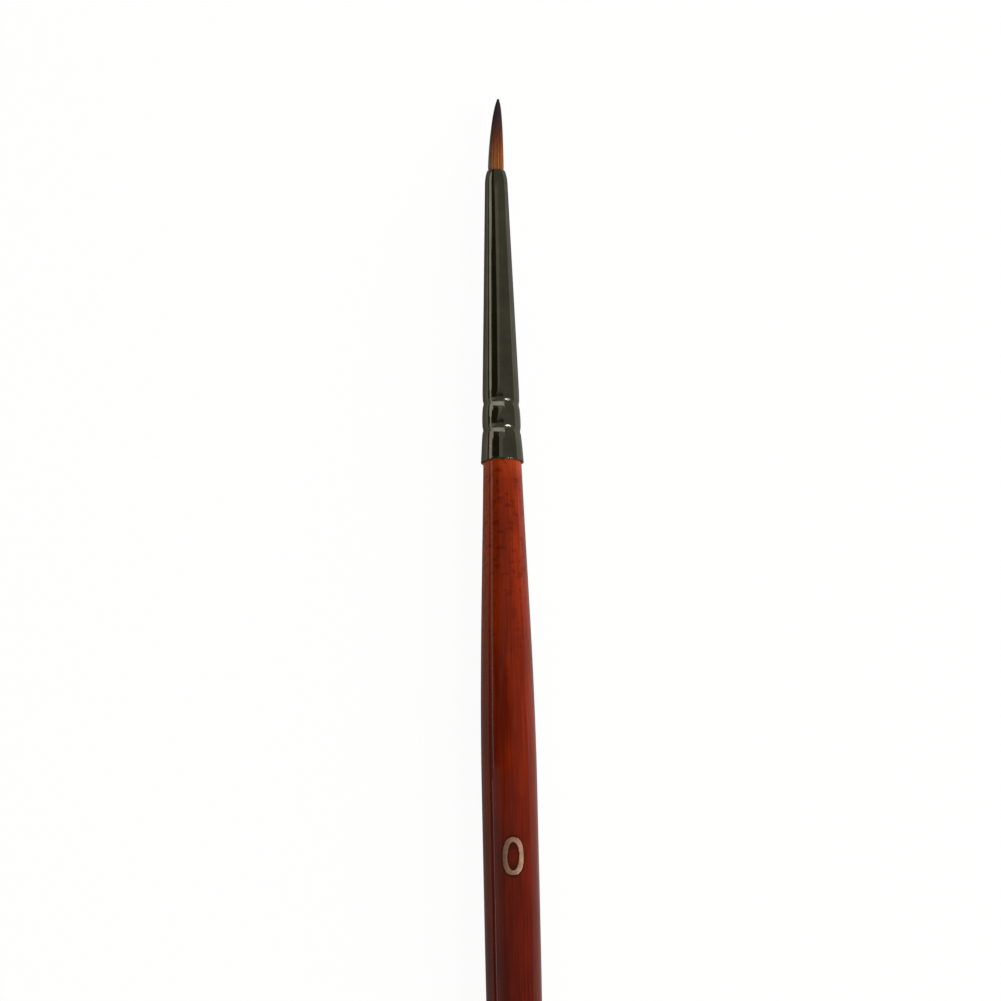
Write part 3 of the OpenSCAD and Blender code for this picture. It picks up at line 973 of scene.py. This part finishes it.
def addFloor():
    bm = bmesh.new()
    bmesh.ops.create_grid(bm, x_segments=1, y_segments=1, size=studio["floorSize"] / 2)
    floor = makePiece("studioFloor", bm, Matrix.Identity(4))
    material, tree = startMaterial("paleStudioFloor")
    rays = addNode(tree, "LightPath").outputs
    seen = addNode(tree, "Math", {0: rays["Is Camera Ray"], 1: rays["Is Glossy Ray"]}, operation="ADD")
    seen = addNode(tree, "Math", {0: seen, 1: rays["Is Transmission Ray"]}, operation="ADD", use_clamp=True)
    amount = addNode(tree, "Math", {0: seen, 1: studio["floorWhite"]}, operation="MULTIPLY")
    matt = addNode(tree, "BsdfDiffuse", {"Color": paint(studio["floorGrey"])})
    white = addNode(tree, "Emission", {"Color": (1, 1, 1, 1)})
    mixed = addNode(tree, "MixShader", {0: amount, 1: matt, 2: white})
    assign(floor, endMaterial(material, mixed))


def addLamp(name, spot, size, power, tint=(1, 1, 1), aim=studio["aim"]):
    data = bpy.data.lights.new(name, "AREA")
    data.shape = "RECTANGLE"
    data.size, data.size_y = size
    data.energy = power
    data.color = tint
    lamp = bpy.data.objects.new(name, data)
    away = (Vector(spot) - Vector(aim)).normalized()
    side = Vector((0, 1, 0)).cross(away).normalized()
    turned = Matrix((side, away.cross(side), away)).transposed().to_4x4()
    lamp.matrix_world = Matrix.Translation(spot) @ turned
    bpy.context.scene.collection.objects.link(lamp)
    return lamp


def addCard(name, corners, height=None, shade=(0, 0, 0, 1), stops=None, spread=0.03):
    # stops give it a ramp of shades from the middle line out to spread
    bm = bmesh.new()
    bm.faces.new([bm.verts.new(corner if height is None else (*corner, height)) for corner in corners])
    card = makePiece(name, bm, Matrix.Identity(4))
    material, tree = startMaterial(name + "Board")
    if stops:
        place = addNode(tree, "TexCoord").outputs["Object"]
        side = addNode(tree, "SeparateXYZ", {"Vector": place}).outputs["X"]
        away = addNode(tree, "Math", {0: side}, operation="ABSOLUTE")
        share = addNode(tree, "MapRange", {"Value": away, "From Max": spread})
        shade = addNode(tree, "ValToRGB", {"Fac": share}, stops=stops)
    assign(card, endMaterial(material, addNode(tree, "Emission", {"Color": shade})))
    card.visible_camera = False
    card.visible_diffuse = False
    card.visible_shadow = False


def lightStudio():
    world = bpy.data.worlds.new("studioRoom")
    world.use_nodes = True
    world.node_tree.nodes.clear()
    room = addNode(world.node_tree, "Background", {"Color": studio["world"]})
    addNode(world.node_tree, "OutputWorld", {"Surface": room})
    bpy.context.scene.world = world
    centre = Vector(studio["aim"])
    spot = centre + Vector(studio["keyWay"]) * studio["keyDistance"]
    addLamp("keyLamp", spot, studio["keySize"], studio["keyPower"], studio["keyTint"])
    # only matt surfaces see the side lamp
    spot = centre + Vector(studio["sideWay"]) * studio["sideDistance"]
    sideLamp = addLamp("sideLamp", spot, studio["sideSize"], studio["sidePower"], studio["keyTint"])
    sideLamp.visible_glossy = False
    for i, (angle, size, power, middle) in enumerate(studio["strips"]):
        tilt = math.radians(angle)
        spot = (math.sin(tilt) * studio["stripDistance"], middle,
                math.cos(tilt) * studio["stripDistance"] + centre.z)
        addLamp(f"stripLamp{i}", spot, size, power, aim=(0, middle, centre.z))
    for name, card in cards.items():
        addCard(name, **card)


addFloor()
lightStudio()
bpy.context.scene.view_settings.view_transform = "Standard"
print("studio lit")
